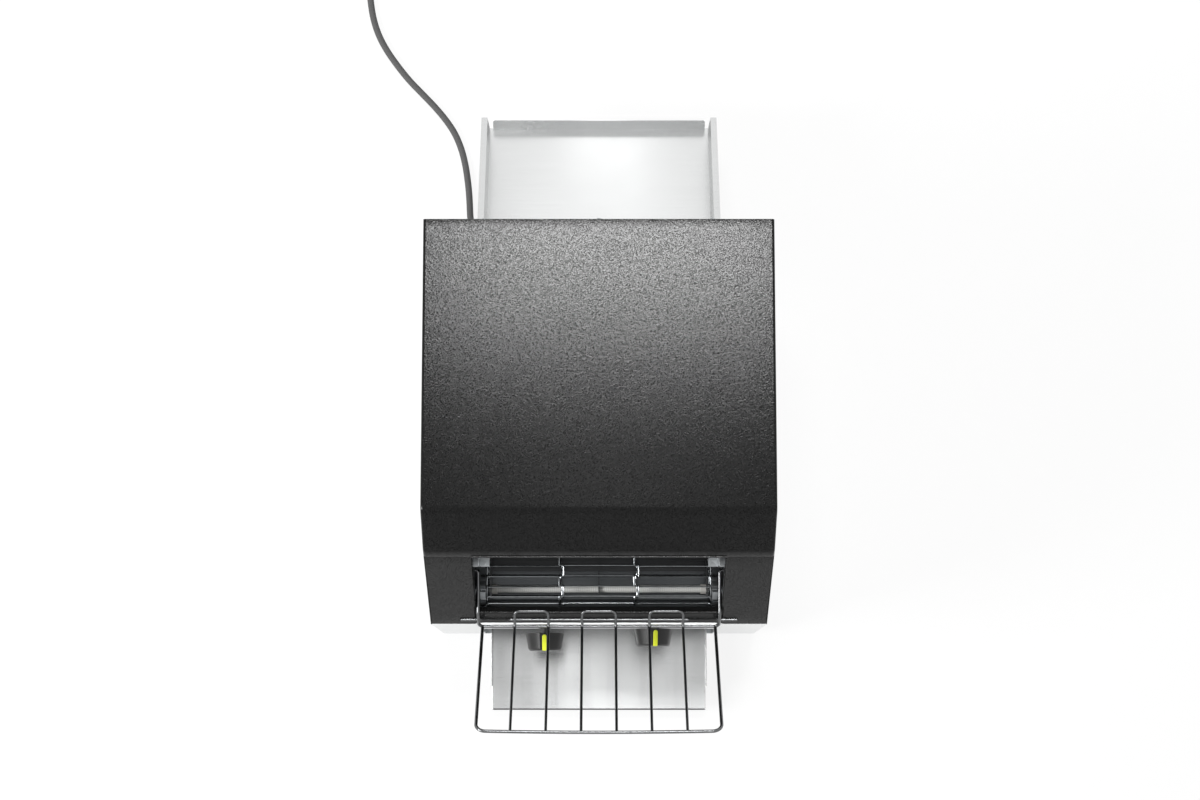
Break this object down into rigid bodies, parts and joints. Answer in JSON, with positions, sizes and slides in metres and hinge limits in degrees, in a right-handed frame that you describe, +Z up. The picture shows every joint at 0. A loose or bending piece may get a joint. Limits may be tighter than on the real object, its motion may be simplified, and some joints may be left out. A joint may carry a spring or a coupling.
{
  "type": "conveyor toaster",
  "caption": "Countertop conveyor toaster: hooded black cover, steel base, wire feed rack, ladder belt between banks of heater tubes, control knobs, front tray and rear chute.",
  "frame": {"origin": "middle of the object's footprint on the table, between the front bar of the rack and the far end of the chute", "axes": "+Z up, -Y towards the user at the front, +X to the right of the user"},
  "size_m": [0.4745, 1.0453, 0.387],
  "materials": {
    "cover_paint": "textured powder coat",
    "bezel_paint": "satin powder coat",
    "rear_paint": "satin powder coat",
    "panel_steel": "brushed",
    "pan_steel": "mill",
    "wall_steel": "mill",
    "slide_steel": "brushed",
    "rack_chrome": "polished",
    "belt_wire": "bright drawn",
    "shaft_steel": "turned",
    "sprocket_steel": "mill",
    "gear_metal": "machined",
    "bush_bronze": "sintered",
    "motor_paint": "satin",
    "reflector_sheet": "bright",
    "bracket_zinc": "galvanised",
    "tube_quartz": "frosted",
    "cap_ceramic": "matt ceramic",
    "knob_black": "satin",
    "pointer_lime": "satin",
    "switch_black": "matt",
    "fan_plastic": "matt",
    "block_plastic": "matt",
    "foot_rubber": "matt",
    "cord_rubber": "matt",
    "screw_steel": "plated"
  },
  "bodies": {
    "cabinet": {"top_cover": "cover_paint", "front_bezel": "bezel_paint", "rear_panel": "rear_paint", "left_side_panel": "panel_steel", "right_side_panel": "panel_steel", "control_panel": "panel_steel", "base_pan": "pan_steel", "tray_runners": "pan_steel", "control_box": "pan_steel", "motor_bracket": "pan_steel", "left_chamber_wall": "wall_steel", "right_chamber_wall": "wall_steel", "lower_heater_tray": "wall_steel", "inner_slide": "slide_steel", "belt": "belt_wire", "front_axles": "shaft_steel", "chute_rod": "shaft_steel", "shaft_bushes": "bush_bronze", "gearmotor": "motor_paint", "upper_reflector": "reflector_sheet", "upper_heater_brackets": "bracket_zinc", "upper_heaters": "tube_quartz", "lower_heaters": "tube_quartz", "upper_heater_caps": "cap_ceramic", "lower_heater_caps": "cap_ceramic", "heat_switch": "switch_black", "speed_control": "switch_black", "thermal_cutout": "switch_black", "fan_frame": "fan_plastic", "cable_gland": "fan_plastic", "terminal_block": "block_plastic", "feet": "foot_rubber", "power_cord": "cord_rubber", "cord_coil": "cord_rubber", "power_plug": "cord_rubber", "rear_screws": "screw_steel"},
    "feed_rack": {"feed_rack": "rack_chrome"},
    "front_tray": {"front_tray": "slide_steel"},
    "rear_chute": {"rear_chute": "slide_steel"},
    "drive": {"drive_shaft": "shaft_steel", "drive_sprockets": "sprocket_steel", "shaft_gear": "gear_metal"},
    "left_front_sprocket": {"left_front_sprocket": "sprocket_steel"},
    "right_front_sprocket": {"right_front_sprocket": "sprocket_steel"},
    "motor_output": {"motor_pinion": "gear_metal"},
    "fan": {"fan_rotor": "fan_plastic"},
    "heat_knob": {"heat_knob": "knob_black", "heat_pointer": "pointer_lime", "heat_spindle": "shaft_steel"},
    "speed_knob": {"speed_knob": "knob_black", "speed_pointer": "pointer_lime", "speed_spindle": "shaft_steel"}
  },
  "joints": [
    {"name": "drive_spin", "type": "hinge", "parent": "cabinet", "child": "drive", "pos_m": [0, 0.0733, 0.23011], "axis": [1, 0, 0], "continuous": true},
    {"name": "left_front_sprocket_spin", "type": "hinge", "parent": "cabinet", "child": "left_front_sprocket", "pos_m": [-0.1266, -0.2087, 0.23011], "axis": [1, 0, 0], "continuous": true},
    {"name": "right_front_sprocket_spin", "type": "hinge", "parent": "cabinet", "child": "right_front_sprocket", "pos_m": [0.1266, -0.2087, 0.23011], "axis": [1, 0, 0], "continuous": true},
    {"name": "motor_spin", "type": "hinge", "parent": "cabinet", "child": "motor_output", "pos_m": [0.155, 0.0733, 0.18951], "axis": [1, 0, 0], "continuous": true},
    {"name": "fan_spin", "type": "hinge", "parent": "cabinet", "child": "fan", "pos_m": [0.165, -0.0952, 0.078], "axis": [1, 0, 0], "continuous": true},
    {"name": "heat_knob_turn", "type": "hinge", "parent": "cabinet", "child": "heat_knob", "pos_m": [-0.0605, -0.2552, 0.176], "axis": [0, -1, 0], "range_deg": [0, 270]},
    {"name": "speed_knob_turn", "type": "hinge", "parent": "cabinet", "child": "speed_knob", "pos_m": [0.0605, -0.2552, 0.176], "axis": [0, -1, 0], "range_deg": [-140, 140]},
    {"name": "rack_lift", "type": "hinge", "parent": "cabinet", "child": "feed_rack", "pos_m": [0, -0.1882, 0.254], "axis": [-1, 0, 0], "range_deg": [0, 45]},
    {"name": "tray_slide", "type": "slide", "parent": "cabinet", "child": "front_tray", "axis": [0, -1, 0], "range_m": [0, 0.07]},
    {"name": "chute_slide", "type": "slide", "parent": "cabinet", "child": "rear_chute", "axis": [0, 0.9298, -0.3681], "range_m": [0, 0.05]}
  ],
  "couplings": [
    {"joint": "left_front_sprocket_spin", "follows": "drive_spin", "ratio": 1},
    {"joint": "right_front_sprocket_spin", "follows": "drive_spin", "ratio": 1},
    {"joint": "motor_spin", "follows": "drive_spin", "ratio": -2}
  ]
}
